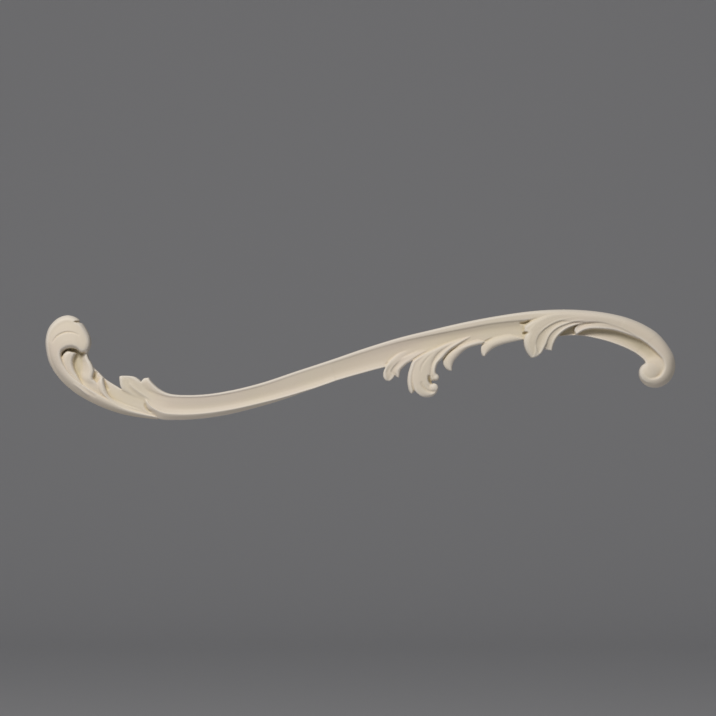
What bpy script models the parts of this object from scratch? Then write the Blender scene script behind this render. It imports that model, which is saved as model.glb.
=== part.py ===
# Carved scroll applique: one flat-backed casting of a curling leaf, a fluted stem and a scroll eye.
#
# The relief is laid out on a sheet seen from the front: x runs right, y runs down, and one sheet
# unit is LENGTH / SHEET_LENGTH. Each carved strand is a blade, a loft between two paired rails.
# A station of a blade holds a point on the first rail, a point on the second rail, the height
# above the back and, where a blade changes its profile, the share of its second profile.
# A profile is a row of evenly spaced shares of that height, from the first rail to the second.

import math
from dataclasses import dataclass

import bmesh
import bpy
import numpy as np

# Driving dimensions, in metres
LENGTH = 0.480
RELIEF = 0.015
BACK_OVERRUN = 0.003
BACK_OVERRUN_STEP = 0.00004
SLAB_MARGIN = 0.020

# The sheet: its drawn length and height of relief, and the point that becomes the part's origin
SHEET_LENGTH = 630.0
SHEET_RELIEF = 19.5
SHEET_ORIGIN = (361.0, 360.0)
UNIT = LENGTH / SHEET_LENGTH
LIFT = RELIEF / SHEET_RELIEF

# How finely the lofts and domes are cut
STEPS_PER_STATION = 2
STRIPS_PER_SHARE = 1
PROFILE_SAMPLES = 64
FEWEST_STRIPS = 4
DOME_SIDES = 28
DOME_RINGS = 5

# Points of the joined casting nearer than this are made one, in metres
WELD_DISTANCE = 0.00003

NODE_NAME = "scroll_applique"
RESIN_COLOUR = (0.74, 0.66, 0.55, 1.0)
RESIN_ROUGHNESS = 0.55

# Profiles across a strand
FLOOR = (0.70, 0.88, 0.94, 0.95, 0.97, 1.00)
COVE = (1.00, 0.92, 0.82, 0.76, 0.79, 0.88, 0.97, 1.00)
COVE_MOUTH = (0.86, 0.86, 0.86, 0.86, 0.88, 0.90, 0.93, 0.96)
FILLET = (0.80, 0.95, 1.00, 1.00, 1.00, 0.99, 0.97, 0.90)
BAND = (0.62, 0.86, 0.97, 1.00, 0.99, 0.95, 0.91, 0.86)
UNDERCUT_LIP = (1.00, 0.90, 0.77, 0.62)
HOOD = (0.60, 0.86, 0.89, 0.92, 0.96, 0.935, 1.00, 1.00, 0.93, 0.50)
OUTER_STRAND = (0.50, 0.62, 0.76, 0.89, 0.97, 1.00, 0.99, 0.97, 0.93, 0.87)
ROUNDED = (0.76, 0.92, 1.00, 0.98, 0.82)
ROUNDED_SINKING = (0.60, 0.88, 1.00, 0.98, 0.84)
ROLLED_RIGHT = (0.90, 0.97, 1.00, 0.97, 0.87, 0.62)
ROLLED_LEFT = (0.58, 0.70, 0.83, 0.95, 1.00, 0.88)
ROLLED_LEFT_FLAT = (0.60, 0.78, 0.92, 1.00, 0.99, 0.86)
RIBBED_LEAF = (0.82, 0.93, 0.90, 0.93, 0.94, 0.98, 0.93)
RIBBED_LEAF_ROOT = (0.82, 0.90, 0.94, 0.98, 1.00, 0.99, 0.95)
SPOON = (0.86, 0.98, 0.94, 0.92, 0.92, 0.88, 0.80)
SPOON_ROOT = (0.66, 0.86, 0.95, 1.00, 1.00, 0.97, 0.92)
CURLED_LOBE = (0.72, 0.91, 1.00, 1.00, 0.97, 0.90, 0.76)
CURLED_TIP = (0.72, 0.91, 1.00, 1.00, 0.92, 0.78, 0.62)
CHANNEL = (0.62, 0.59, 0.56, 0.55, 0.54, 0.54, 0.54, 0.54, 0.56, 0.68, 1.00)
CHANNEL_SLOPE = (0.70, 0.66, 0.64, 0.65, 0.69, 0.76, 0.85, 0.93, 1.00)
SCOOP = (0.98, 0.88, 0.85, 0.88, 1.00, 0.88)
LOBE_LEFT = (0.76, 0.93, 1.00, 0.99, 0.93, 0.80)
LOBE_LEFT_END = (0.76, 0.92, 0.99, 1.00, 1.00, 0.98)
LOBE_RIGHT = (0.74, 0.92, 1.00, 0.99, 0.92, 0.80)
LOBE_RIGHT_END = (1.00, 1.00, 0.99, 0.96, 0.90, 0.78)
SECOND_LEAF = (0.90, 0.95, 0.93, 0.93, 0.96, 0.99, 0.99)
FLAT = (1.0, 1.0, 1.0)


@dataclass(frozen=True)
class Blade:
    """One carved strand: its profile and its stations along the sheet."""

    name: str
    profile: tuple
    stations: tuple
    second: tuple = ()


@dataclass(frozen=True)
class Dome:
    """A round boss: centre and radius on the sheet, height at its rim and top, and how it falls to its rim.

    A fall of 0.5 is a ball's, steep at the rim, and a fall of 1 is a cushion's.
    """

    name: str
    x: float
    y: float
    radius: float
    rim: float
    top: float
    fall: float = 0.5


def tail_blades():
    """The curled hood at the left end, the strands under it and the two small leaves."""
    bed = Blade("bed", FLOOR, (
        (51, 342, 85.5, 347, 6.5), (53, 360, 85.5, 357, 7.5), (63, 375.5, 89.5, 364, 8),
        (78, 388, 97.3, 371.4, 8), (93, 398, 104.5, 378.5, 8), (109, 407, 114, 384.7, 8.2),
        (129, 413.5, 126, 391, 8.5), (154, 417.6, 152, 397, 9)))
    hood = Blade("hood", HOOD, (
        (158, 418.9, 154, 416, 8.6, 1), (128, 415, 126, 408.5, 10.5, 1), (108, 409.3, 109, 400.5, 11.6, 1),
        (90, 401.5, 94.5, 392.5, 12.6, 1), (73, 391.6, 82, 384, 13.6, 1), (58.5, 378.3, 69, 376, 14.5, 0.9),
        (49.2, 364, 62.5, 364, 15.5, 0.7), (45.8, 351, 60.7, 356, 17, 0.35), (45.3, 339, 62.5, 351.3, 18),
        (48.8, 327, 66.5, 348.7, 19), (57.5, 317.9, 70, 347.7, 19.5), (67.5, 314.9, 74, 347.6, 19.5),
        (77, 318.3, 77.5, 348.3, 19.2), (84.3, 327, 80.5, 349.5, 18.6, 0.3),
        (89.3, 337, 83, 350.8, 17.6, 0.6), (90, 344, 85, 351.8, 15.8, 0.9),
        (87.6, 350.3, 86.6, 353, 12.6, 1)),
        OUTER_STRAND)
    tucked = Blade("tucked_strand", ROLLED_RIGHT, (
        (66.4, 350.7, 76.8, 351.2, 13.8), (60.8, 354.2, 74.8, 354.7, 14.3), (57.8, 359.8, 72.8, 360, 14.2),
        (58.2, 367, 71.8, 366.7, 13.8), (62.7, 375, 72.7, 374.1, 13.3), (70.3, 383, 76.7, 381.2, 12.7),
        (80.5, 390.5, 83.5, 387.5, 11.5)))
    inner = Blade("inner_strand", ROLLED_LEFT, (
        (77.3, 351, 86.8, 349.8, 11.8, 1), (75, 358, 89.2, 358.3, 12.2, 1),
        (73.7, 364, 93.3, 364.5, 12.6, 0.4), (73.6, 370, 92.5, 370.5, 12.9),
        (75.5, 378.5, 90.8, 377.5, 13.1), (81.3, 386, 94.5, 386.5, 12.8), (92, 394, 103.5, 395, 12.3),
        (103.5, 402, 116, 403.3, 11.4), (118, 409, 131, 409.5, 10), (134, 413.3, 146, 412.6, 8.8)),
        ROLLED_LEFT_FLAT)
    ridge = Blade("ridge_strand", ROUNDED, (
        (100.3, 376.4, 102.6, 376.8, 11), (97.3, 380, 104, 382, 12.5), (95.7, 385, 105.3, 388.5, 12.6),
        (98, 391, 108, 394.3, 12.4), (105.5, 398.3, 114, 400.2, 11.9), (115, 404.3, 122.8, 405.3, 11.2),
        (130, 409.7, 137, 410.8, 10), (142, 412.8, 147.5, 413.5, 9)))
    first_leaf = Blade("first_leaf", RIBBED_LEAF, (
        (118.8, 375.8, 121, 375.3, 11), (118.8, 379, 131, 375.7, 11.6), (119.7, 385, 137.5, 378.5, 11.6),
        (122, 389.5, 141, 382.3, 11.2, 0.4), (129, 394, 146, 389, 10.4, 0.8),
        (138, 398.5, 153, 395, 9.8, 1), (148, 402, 161, 401, 9.4, 1)),
        RIBBED_LEAF_ROOT)
    second_leaf = Blade("second_leaf", SECOND_LEAF, (
        (143.8, 377.7, 148.3, 377.4, 11), (140.9, 381, 149.8, 380.8, 11.5),
        (141.2, 385.5, 152.7, 385.7, 11.6), (145.3, 390.5, 158.5, 390.6, 11.4),
        (153.5, 396, 167.5, 394.2, 10.8), (168, 400.5, 182, 395.3, 9.2)))
    return [hood, bed, tucked, inner, ridge, first_leaf, second_leaf]


def stem_blades():
    """The long cove, the fillet above it that swells into the scroll's band, and the lower lip."""
    cove = Blade("stem_cove", COVE, (
        (142, 390, 144.5, 400.5, 10.3, 1), (151, 393, 150, 406, 11.2, 0.6),
        (160, 394.3, 158, 410.3, 11.5, 0.2), (172, 395.3, 171.5, 413.2, 11.5),
        (200, 395.2, 200, 413.2, 11.5), (230, 391.1, 231, 409.2, 11.5), (262, 383, 263.5, 402, 11.5),
        (295, 372, 298, 393, 11.5), (330, 360.5, 335, 380.5, 11.5), (365, 348.5, 372, 369.9, 11.5),
        (383, 343.3, 388, 365.5, 11.5), (400, 338.2, 404, 358.5, 11.5), (430, 331, 436, 348.5, 11.5),
        (460, 324, 466, 345, 11.5), (490, 318, 494, 341.3, 11.5), (524, 313, 526, 338.3, 11.5),
        (546, 312, 546, 334, 11)),
        COVE_MOUTH)
    band = Blade("fillet_and_band", FILLET, (
        (148.7, 377, 145.8, 377.2, 10.8), (151.1, 380.3, 147.3, 381, 11.5),
        (154.6, 384.7, 150.5, 386, 11.6), (160.5, 389.3, 157, 392, 11.7), (168.5, 392.6, 167, 395.8, 11.9),
        (182, 394, 182, 397, 12.1), (205, 393.2, 205.2, 396.3, 12.2), (230, 389.3, 231, 392.5, 12.2),
        (262, 381.3, 263, 385, 12.2), (295, 370.3, 296, 374, 12.2), (330, 358.8, 331, 362.8, 12.2),
        (365, 346.8, 366, 351.5, 12.5), (400, 336, 401, 341.3, 12.8), (430, 328.7, 431, 334.8, 13),
        (460, 321.7, 461, 329, 13.2), (490, 315.7, 491, 323.5, 13.5), (524, 310.8, 525, 320, 14.2, 0.1),
        (545, 309.1, 547, 319.5, 15.2, 0.5), (565, 308.6, 566, 320.5, 15.8, 0.9),
        (585, 309.6, 584, 322.3, 16, 1), (605, 312, 601, 323.3, 16, 1), (625, 316.5, 617, 328.3, 16, 1),
        (643, 324, 630, 336.5, 16, 1), (657, 333.2, 643, 345.7, 16, 1), (667, 344.5, 654.5, 353.2, 16, 1),
        (673.5, 356, 661.5, 359.8, 15.5, 1), (675.3, 366, 664, 367.5, 15, 1),
        (672.5, 375.8, 662.3, 374.8, 14.5, 1), (665, 384.2, 659, 379.2, 14, 1),
        (655, 387.5, 654.3, 381, 13.5, 1), (646, 385, 649.3, 380.3, 13, 1),
        (640.5, 379.3, 646, 377, 12.3, 1), (639.1, 373, 643.5, 372.5, 11.6, 1)),
        BAND)
    lip = Blade("lower_lip", UNDERCUT_LIP, (
        (145.5, 399.8, 143.9, 401, 11), (147.2, 403, 143.8, 405, 11.8), (150.5, 406.3, 146, 410.3, 12.2),
        (156, 409.6, 150.5, 414.8, 12.2), (164, 412, 159, 419, 12), (178, 413.6, 177, 419.6, 11.8),
        (200, 412.8, 200, 418.3, 11.7), (225, 409.5, 226, 414.4, 11.6), (250, 404.5, 251, 408.4, 11.5),
        (280, 397.3, 280.5, 399.8, 11.5), (310, 387.6, 310.5, 389, 11.2)))
    return [cove, band, lip]


def middle_leaves():
    """The leaves that hang under the middle of the stem."""
    spoon = Blade("spoon_leaf", SPOON, (
        (386, 380.5, 389, 380, 10), (383.2, 376.5, 392.5, 377, 11), (382.7, 371, 395.5, 371.7, 11.8),
        (385.6, 365, 399.3, 366, 12.3, 0.3), (391.5, 359, 405, 361, 12.5, 0.7),
        (402.5, 352.5, 414.5, 356, 12, 1), (419, 345.5, 428, 350.5, 10, 1)),
        SPOON_ROOT)
    tooth = Blade("spoon_tooth", ROUNDED, (
        (397.3, 376, 399, 376.3, 10), (394.8, 373.8, 399.6, 373.5, 10.8), (395.7, 369.5, 401, 369, 11.4),
        (398.7, 364.3, 405, 364.3, 12), (404.7, 359.3, 411.3, 360.3, 12.3, 0.5),
        (414, 354.5, 421, 356.5, 12, 1), (428, 348.5, 434, 351, 10, 1)),
        ROUNDED_SINKING)
    left_strand = Blade("plume_left", ROUNDED, (
        (410.8, 393.3, 412.6, 392.8, 10.8), (408.5, 390, 414.6, 389.5, 11.5), (407, 382, 414.3, 382, 12.2),
        (407.7, 374, 414.6, 374, 12.8), (410.2, 366.3, 416.7, 367, 13), (414, 359.3, 421.3, 360.5, 13.1),
        (422, 352.2, 429.5, 354, 12.8, 0.5), (434, 345.5, 441, 348, 11.8, 1),
        (448, 339, 454, 342.5, 9.5, 1)),
        ROUNDED_SINKING)
    plume = Blade("plume", CURLED_LOBE, (
        (453, 340.5, 461, 337, 9.5), (437, 347.5, 448.5, 345.2, 12.2), (424.7, 355.5, 437.5, 353.5, 13.4),
        (416.7, 364, 431.3, 361, 14), (413.8, 373, 428.8, 369, 14.4), (413.4, 382, 428.3, 376, 14.6),
        (415.6, 390.3, 428.6, 382, 14.4, 0.4), (420.7, 395, 429.2, 386, 14, 0.8),
        (426.8, 396.9, 430.8, 389.6, 13.6, 1), (432.8, 395.7, 433, 391, 13.2, 1),
        (436.6, 392.5, 434.9, 389.4, 12.7, 1), (438, 389.2, 435.2, 387.6, 12, 1)),
        CURLED_TIP)
    plume_right = Blade("plume_right", ROUNDED, (
        (465, 335.2, 475, 334.8, 9.5), (449, 343.5, 460, 343.3, 12.3), (438, 352.2, 450, 350.2, 13.2),
        (432, 359.3, 442.5, 357.8, 13.8), (428.6, 366, 437, 364.3, 14), (427.6, 372.5, 435.2, 369.5, 14),
        (429, 378, 436.2, 374, 13.4), (432.6, 380.6, 438.4, 376.5, 12.3)))
    web = Blade("plume_web", FLAT, (
        (425, 364, 431, 364, 8.5), (425, 375, 431, 375, 8.5), (425.5, 389, 431.6, 386, 8.5)))
    third = Blade("third_leaf", ROUNDED, (
        (448.7, 370.2, 452, 370.2, 9.8), (444.7, 367.3, 452, 366, 10.6), (442.4, 361.5, 454, 360.4, 11.2),
        (443.5, 356.5, 458.6, 354.9, 11.7), (449.7, 350, 466, 348.7, 12), (460, 344, 475, 345.2, 12),
        (475, 338.5, 489, 342.4, 11)))
    fourth = Blade("fourth_leaf", ROUNDED, (
        (482.5, 355.7, 484.9, 355.7, 9.5), (480.8, 351.5, 488, 352, 10.3), (481, 346, 493.7, 347.5, 11.2),
        (484.3, 341.5, 501, 344.4, 11.9), (491.5, 337, 512, 341.5, 12), (505, 332.3, 524.5, 338.9, 11)))
    return [spoon, tooth, left_strand, plume, plume_right, web, third, fourth]


def right_blades():
    """The fan of lobes where the stem meets the scroll, and the channel under the scroll's band."""
    tongue = Blade("tongue", ROUNDED, (
        (523.4, 325, 523.4, 329.8, 13), (528, 321.8, 528, 331.2, 14.6), (535, 318.2, 535.5, 330, 15.6),
        (546, 313.3, 548.5, 323.3, 16.2), (560, 310.8, 562.5, 318, 15.4)))
    fan_left = Blade("fan_left", LOBE_LEFT, (
        (530.8, 357.5, 534.2, 357.4, 12, 1), (527.8, 353.7, 537.5, 352, 13.3, 1),
        (525.3, 348.4, 538.5, 345, 14.8, 0.7), (524, 342, 539.3, 338.5, 15.8, 0.2),
        (524.4, 337.3, 542.5, 332.5, 16.2), (527.8, 332.7, 547.5, 327, 16.5),
        (533.3, 327, 553.5, 322.3, 16.7), (541.5, 320.3, 561.5, 317.8, 16.7),
        (553, 314.5, 573, 314.2, 16.3), (572, 311, 590, 312.5, 15.2)),
        LOBE_LEFT_END)
    fan_right = Blade("fan_right", LOBE_RIGHT, (
        (532.6, 357.5, 535, 357.3, 11.8, 1), (534.6, 352.5, 540.4, 352.8, 13, 1),
        (536, 345.5, 543.6, 348.2, 14.1, 0.8), (537.3, 338.8, 546, 343.8, 15, 0.2),
        (540.8, 331.8, 548.5, 338.5, 15.6), (546.3, 325.5, 552.6, 332.8, 15.9),
        (552.8, 320.8, 558.5, 327.5, 16), (561, 316.6, 566, 322.8, 16), (573, 313.2, 577, 318.8, 15.8),
        (591, 312.4, 593, 318.3, 14.8)),
        LOBE_RIGHT_END)
    fan_tooth = Blade("fan_tooth", ROUNDED, (
        (545.6, 348.4, 551.1, 349, 11.2), (544.5, 345.3, 551.8, 345.3, 12.4),
        (545.6, 339.8, 553.2, 341.2, 13.2), (549, 334, 556, 336.5, 13.8), (555, 328.5, 561.5, 331.3, 14.2),
        (563, 323.5, 568.5, 327.8, 14.5), (573, 319.8, 577, 324.7, 14.6), (588, 318.6, 590, 322.6, 14)))
    channel = Blade("channel", CHANNEL, (
        (552, 324, 554, 335.3, 9), (560, 323.5, 561, 335.4, 9), (570, 323, 571, 334.9, 9),
        (584, 323, 584, 335.2, 9.2, 0.2), (602, 323.5, 597, 337.9, 9.6, 0.45),
        (622, 328, 613, 342.4, 10, 0.7), (638, 336.5, 629, 348.8, 10.5, 0.9),
        (651, 347, 639.2, 355.1, 11, 1), (660, 357, 645.7, 363.3, 12, 1),
        (664.5, 367.5, 650, 370, 12.4, 1)),
        CHANNEL_SLOPE)
    scoop = Blade("scoop", SCOOP, (
        (574, 330.4, 576.2, 334.6, 12.3), (574.9, 326.9, 579.8, 331.7, 13.3),
        (579, 323.7, 585.3, 329.5, 14), (587, 321.7, 593.5, 328.6, 14.2), (597, 321.2, 604, 328.9, 14.5),
        (610, 322.5, 615, 331.8, 14.7), (622, 325.7, 626, 336.7, 14.8), (634, 331.3, 638, 342.6, 14.8),
        (645, 339, 651.5, 350.8, 14.2)))
    return [tongue, fan_left, fan_right, fan_tooth, channel, scoop]


def bosses():
    """The scroll's eye with the floor under it, and the small balls at the plume's tips."""
    return [
        Dome("eye_floor", 657, 368, 12.5, 7.4, 7.5),
        Dome("eye", 650, 372.4, 10.9, 9.4, 13.9, 0.75),
        Dome("plume_ball", 433.1, 387.3, 4.6, 9, 13.8),
        Dome("plume_right_ball", 435.5, 377.4, 3.25, 9, 12.9),
    ]


# The dark nick in the hood's upper edge: a slim wedge, corners on the sheet and the height it reaches down to
NICK_CORNERS = ((74.3, 321.2), (82.5, 320.3), (82.5, 323.6))
NICK_FLOOR = 13.0


def to_part(x, y, height):
    """A point of the sheet at a height above the back, in the part's own frame."""
    return ((x - SHEET_ORIGIN[0]) * UNIT, -height * LIFT, (SHEET_ORIGIN[1] - y) * UNIT)


def smooth_curve(points, samples):
    """A centripetal Catmull-Rom curve through the points, an equal number of samples to each gap."""
    knots = np.asarray(points, float)
    gaps = np.sqrt(np.maximum(np.linalg.norm(np.diff(knots[:, :2], axis=0), axis=1), 1e-6))
    slopes = np.diff(knots, axis=0) / gaps[:, None]
    weight = (gaps[:-1] / (gaps[:-1] + gaps[1:]))[:, None]
    middle = slopes[:-1] * (1 - weight) + slopes[1:] * weight
    first = 2 * slopes[0] - middle[0]
    last = 2 * slopes[-1] - middle[-1]
    tangents = np.vstack([first, middle, last])
    place = np.linspace(0, len(knots) - 1, samples)
    index = np.minimum(place.astype(int), len(knots) - 2)
    t = (place - index)[:, None]
    gap = gaps[index][:, None]
    return (
        (2 * t**3 - 3 * t**2 + 1) * knots[index]
        + (t**3 - 2 * t**2 + t) * gap * tangents[index]
        + (3 * t**2 - 2 * t**3) * knots[index + 1]
        + (t**3 - t**2) * gap * tangents[index + 1]
    )


def profile_heights(shares, across):
    """The profile's share of height at each place across, smooth through its evenly spaced shares."""
    row = np.column_stack([np.linspace(0, 1, len(shares)), shares])
    fine = smooth_curve(row, PROFILE_SAMPLES)
    return np.interp(across, fine[:, 0], fine[:, 1])


def blade_lattice(blade):
    """The blade's front surface: rows along the strand, columns across it, as x, y and height."""
    rows = np.array([tuple(s) + (0.0,) * (6 - len(s)) for s in blade.stations])
    steps = STEPS_PER_STATION * (len(rows) - 1) + 1
    rails = smooth_curve(rows[:, :4], steps)
    order = np.arange(len(rows))
    heights = smooth_curve(np.column_stack([order, rows[:, 4]]), steps)[:, 1]
    blend = np.clip(smooth_curve(np.column_stack([order, rows[:, 5]]), steps)[:, 1], 0, 1)[:, None]
    strips = max(FEWEST_STRIPS, STRIPS_PER_SHARE * (len(blade.profile) - 1))
    across = np.linspace(0, 1, strips + 1)
    second = blade.second or blade.profile
    shares = profile_heights(blade.profile, across) * (1 - blend) + profile_heights(second, across) * blend
    plan = rails[:, None, :2] * (1 - across[:, None]) + rails[:, None, 2:] * across[:, None]
    return np.dstack([plan, shares * heights[:, None]])


def hidden_mesh_object(name, mesh_maker):
    """An object that only shapes another one: not rendered, drawn as wire."""
    mesh = bpy.data.meshes.new(name)
    maker = bmesh.new()
    mesh_maker(maker)
    bmesh.ops.recalc_face_normals(maker, faces=maker.faces)
    maker.to_mesh(mesh)
    maker.free()
    helper = bpy.data.objects.new(name, mesh)
    bpy.context.scene.collection.objects.link(helper)
    helper.hide_render = True
    helper.display_type = "WIRE"
    return helper


def loft_blade(maker, blade, overrun):
    """A closed solid: the blade's front surface, its walls and a flat foot behind the back plane."""
    lattice = blade_lattice(blade)
    front = [[maker.verts.new(to_part(*point)) for point in row] for row in lattice]
    last = len(front[0]) - 1
    foot = [[maker.verts.new((row[i].co.x, overrun, row[i].co.z)) for i in range(last + 1)] for row in front]
    for this, after, low, low_after in zip(front, front[1:], foot, foot[1:]):
        for i in range(last):
            maker.faces.new((this[i], this[i + 1], after[i + 1], after[i]))
            maker.faces.new((low[i], low_after[i], low_after[i + 1], low[i + 1]))
        for i in (0, last):
            maker.faces.new((this[i], after[i], low_after[i], low[i]))
    for top, low in ((front[0], foot[0]), (front[-1], foot[-1])):
        for i in range(last):
            maker.faces.new((top[i], top[i + 1], low[i + 1], low[i]))


def turn_dome(maker, dome, overrun):
    """A closed round boss: a quarter-ellipse dome on a straight wall."""
    rings = []
    for ring in range(DOME_RINGS + 1):
        angle = 0.5 * math.pi * ring / (DOME_RINGS + 1)
        radius = dome.radius * math.cos(angle)
        height = dome.rim + (dome.top - dome.rim) * math.sin(angle) ** (2 * dome.fall)
        rings.append(dome_ring(maker, dome, radius, height))
    wall = [maker.verts.new((vert.co.x, overrun, vert.co.z)) for vert in rings[0]]
    rings.insert(0, wall)
    for ring, above in zip(rings, rings[1:]):
        for i in range(DOME_SIDES):
            j = (i + 1) % DOME_SIDES
            maker.faces.new((ring[i], ring[j], above[j], above[i]))
    crown = maker.verts.new(to_part(dome.x, dome.y, dome.top))
    for i in range(DOME_SIDES):
        maker.faces.new((rings[-1][i], rings[-1][(i + 1) % DOME_SIDES], crown))
    maker.faces.new(wall)


def dome_ring(maker, dome, radius, height):
    """One ring of points round a dome's centre."""
    turns = [2 * math.pi * i / DOME_SIDES for i in range(DOME_SIDES)]
    return [
        maker.verts.new(to_part(dome.x + radius * math.cos(a), dome.y + radius * math.sin(a), height))
        for a in turns
    ]


def cut_nick(maker):
    """The wedge that is cut from the hood's upper edge."""
    low = [maker.verts.new(to_part(x, y, NICK_FLOOR)) for x, y in NICK_CORNERS]
    high = [maker.verts.new(to_part(x, y, 2 * SHEET_RELIEF)) for x, y in NICK_CORNERS]
    maker.faces.new(low)
    maker.faces.new(high)
    for i in range(3):
        j = (i + 1) % 3
        maker.faces.new((low[i], low[j], high[j], high[i]))


def back_slab(maker):
    """The slab behind the back plane that trims every foot flat."""
    bmesh.ops.create_cube(maker, size=1.0)
    depth = 2 * (BACK_OVERRUN + SLAB_MARGIN)
    for vert in maker.verts:
        vert.co.x *= 2 * LENGTH
        vert.co.z *= LENGTH
        vert.co.y = vert.co.y * depth + depth / 2


def resin_material():
    """The casting's matte cream resin."""
    material = bpy.data.materials.new("cream_resin")
    material.use_nodes = True
    shader = material.node_tree.nodes["Principled BSDF"]
    shader.inputs["Base Color"].default_value = RESIN_COLOUR
    shader.inputs["Roughness"].default_value = RESIN_ROUGHNESS
    shader.inputs["Metallic"].default_value = 0.0
    return material


def add_boolean(target, other, operation):
    """A live exact Boolean on the target."""
    modifier = target.modifiers.new(f"{operation.lower()}_{other.name}", "BOOLEAN")
    modifier.object = other
    modifier.operation = operation
    modifier.solver = "EXACT"


def clean_surface(body):
    """Makes one of points that nearly coincide and cuts the surface into well-shaped triangles."""
    weld = body.modifiers.new("weld", "WELD")
    weld.merge_threshold = WELD_DISTANCE
    cut = body.modifiers.new("triangles", "TRIANGULATE")
    cut.quad_method = "BEAUTY"
    cut.ngon_method = "BEAUTY"


def build():
    """The casting: every blade and boss joined into one solid, nicked, and cut flat at the back."""
    for old in list(bpy.data.objects):
        bpy.data.objects.remove(old)
    shapes = stem_blades() + tail_blades() + middle_leaves() + right_blades() + bosses()
    helpers = []
    for number, shape in enumerate(shapes):
        overrun = BACK_OVERRUN + number * BACK_OVERRUN_STEP
        form = turn_dome if isinstance(shape, Dome) else loft_blade
        helpers.append(hidden_mesh_object(shape.name, lambda maker: form(maker, shape, overrun)))
    body = helpers[0]
    body.name = NODE_NAME
    body.hide_render = False
    body.display_type = "TEXTURED"
    body.data.materials.append(resin_material())
    for helper in helpers[1:]:
        add_boolean(body, helper, "UNION")
    add_boolean(body, hidden_mesh_object("nick", cut_nick), "DIFFERENCE")
    add_boolean(body, hidden_mesh_object("back_slab", back_slab), "DIFFERENCE")
    clean_surface(body)


build()
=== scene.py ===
"""Carved scroll applique: the relief at full detail, its cream resin finish and a plain studio.

The relief is laid out on a sheet seen from the front: x runs right, y runs down, and one sheet
unit is LENGTH / SHEET_LENGTH. The sheet lies over the reference photograph, one unit to a pixel,
and its points were chosen there. Each carved strand is a loft between two paired rails, raised on a
fine grid, joined softly to its neighbours, tooled with fine grooves and closed with a flat back.
"""

import logging
import math
from dataclasses import dataclass
from enum import Enum
from typing import Any, Iterable

import bpy
import numpy as np
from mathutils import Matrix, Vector, kdtree
from mathutils.geometry import tessellate_polygon


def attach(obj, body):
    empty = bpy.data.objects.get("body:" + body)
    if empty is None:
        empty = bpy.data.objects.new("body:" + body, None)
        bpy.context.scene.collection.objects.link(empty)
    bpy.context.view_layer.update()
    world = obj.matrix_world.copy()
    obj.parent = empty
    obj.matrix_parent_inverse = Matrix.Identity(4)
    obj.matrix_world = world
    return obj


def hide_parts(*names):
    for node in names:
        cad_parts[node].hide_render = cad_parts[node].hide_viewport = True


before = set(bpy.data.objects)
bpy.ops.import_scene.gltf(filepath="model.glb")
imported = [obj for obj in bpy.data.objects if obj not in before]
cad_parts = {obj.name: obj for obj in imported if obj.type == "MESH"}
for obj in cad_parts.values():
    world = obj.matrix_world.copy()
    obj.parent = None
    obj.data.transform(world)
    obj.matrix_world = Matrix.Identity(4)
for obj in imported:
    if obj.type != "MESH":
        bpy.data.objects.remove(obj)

LOG = logging.getLogger("scroll_applique")
NODE_NAME = "scroll_applique"
BODY_NAME = "root"

# Sizes in metres, and the sheet that the strands are drawn on
LENGTH = 0.480
RELIEF = 0.015
SHEET_LENGTH = 630.0
SHEET_RELIEF = 19.5
SHEET_ORIGIN = (361.0, 360.0)
UNIT = LENGTH / SHEET_LENGTH
LIFT = RELIEF / SHEET_RELIEF
PROFILE_STEPS = 64
BLUR_REACH = 3

# Profiles across a strand, as evenly spaced shares of its height
FLOOR = (0.70, 0.88, 0.94, 0.95, 0.97, 1.00)
COVE = (1.00, 0.955, 0.91, 0.868, 0.838, 0.842, 0.905, 0.985)
COVE_DEEP = (1.00, 0.885, 0.80, 0.77, 0.765, 0.765, 0.77, 0.79)
COVE_MOUTH = (0.86, 0.86, 0.86, 0.86, 0.88, 0.90, 0.93, 0.96)
FILLET = (0.86, 0.97, 1.00, 1.00, 1.00, 1.00, 0.99, 0.95)
FILLET_TIP = (0.80, 0.96, 1.00, 0.99, 0.97, 0.95, 0.93, 0.91)
BAND = (0.64, 0.85, 0.94, 0.985, 1.00, 0.995, 0.985, 0.97)
SCROLL_BAND = (0.50, 0.64, 0.77, 0.87, 0.94, 0.985, 1.00, 0.90)
UNDERCUT_LIP = (1.00, 0.88, 0.72, 0.55)
HOOD = (0.62, 0.88, 0.90, 0.925, 0.945, 0.963, 0.98, 0.992, 0.97, 0.48)
OUTER_STRAND = (0.40, 0.53, 0.65, 0.76, 0.855, 0.93, 0.975, 1.00, 1.00, 0.985)
HOOD_TIP = (0.66, 0.85, 0.93, 0.965, 0.985, 1.00, 1.00, 0.99, 0.95, 0.82)
ROUNDED = (0.76, 0.92, 1.00, 0.98, 0.82)
ROLLED_RIGHT = (0.90, 0.97, 1.00, 0.98, 0.93, 0.58)
RISING = (0.56, 0.62, 0.74, 0.88, 0.97, 1.00, 0.88)
RISING_STEEP = (0.42, 0.42, 0.50, 0.68, 0.86, 0.98, 0.90)
FALLING = (1.00, 0.93, 0.885, 0.86, 0.855, 0.85, 0.78)
RIBBED_LEAF = (0.82, 0.93, 0.90, 0.93, 0.94, 0.98, 0.93)
RIBBED_LEAF_ROOT = (0.82, 0.90, 0.94, 0.98, 1.00, 0.99, 0.95)
SPOON = (0.86, 0.98, 0.95, 0.92, 0.91, 0.94, 0.92)
SPOON_ROOT = (0.97, 0.99, 1.00, 1.00, 0.99, 0.98, 0.96)
TOOTH_FLUTE = (0.91, 0.90, 0.91, 0.95, 1.00, 0.98, 0.85)
FLUTE_ROOT = (0.95, 0.95, 0.97, 0.98, 1.00, 0.98, 0.92)
PLUME = (0.965, 0.985, 1.00, 0.995, 0.985, 0.97, 0.93)
PLUME_TIP = (0.78, 0.93, 0.99, 1.00, 0.96, 0.90, 0.84)
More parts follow.
